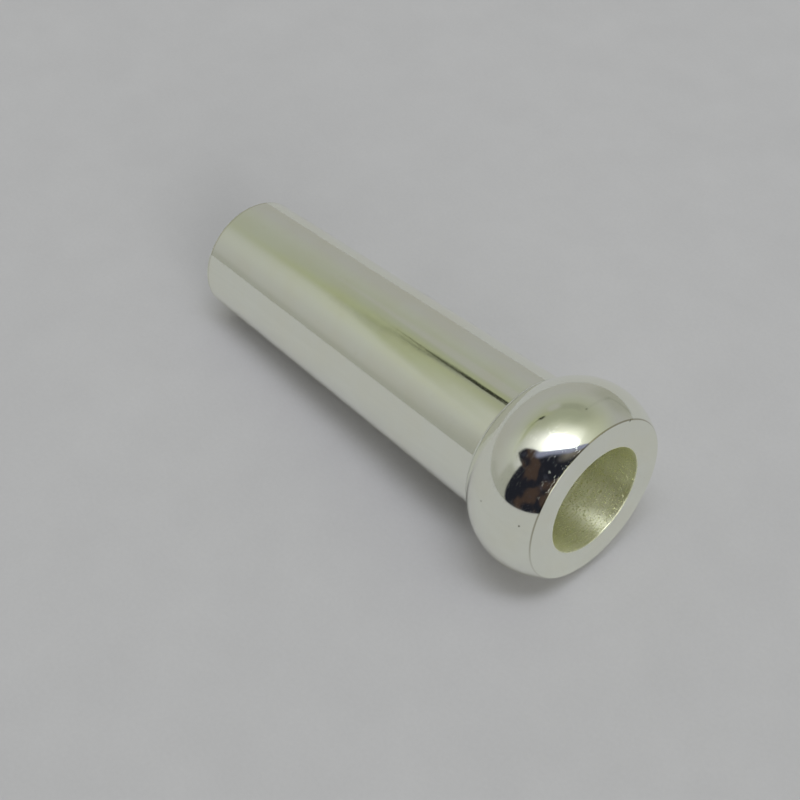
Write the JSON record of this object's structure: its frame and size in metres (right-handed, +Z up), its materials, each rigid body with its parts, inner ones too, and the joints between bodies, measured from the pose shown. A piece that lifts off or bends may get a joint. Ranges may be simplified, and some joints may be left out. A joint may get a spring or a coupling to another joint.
{
  "type": "mouthpiece adapter",
  "caption": "Silver-plated tapered shank for a brass instrument's leadpipe, with a ball-shaped collar whose flat face opens into a tapered bore for another mouthpiece's shank.",
  "frame": {"origin": "centre of the footprint, on the surface that the adapter lies on", "axes": "+Z up; +X along the floor from the small end of the shank to the ball collar; the adapter's own axis lies in the XZ plane and rises 4.37 degrees towards +X, because it rests on the ball and on the rim of the small end"},
  "size_m": [0.04, 0.0152, 0.0153],
  "materials": {
    "silver_plate_shank": "silver-plated, mirror polished outside, satin in the bore",
    "silver_plate_collar": "silver-plated, mirror polished outside, reamed satin bore",
    "silver_solder": "solder under silver plate, soft gloss"
  },
  "bodies": {
    "root": {"shank_tube": "silver_plate_shank", "ball_collar": "silver_plate_collar", "solder_fillet": "silver_solder"}
  },
  "joints": []
}
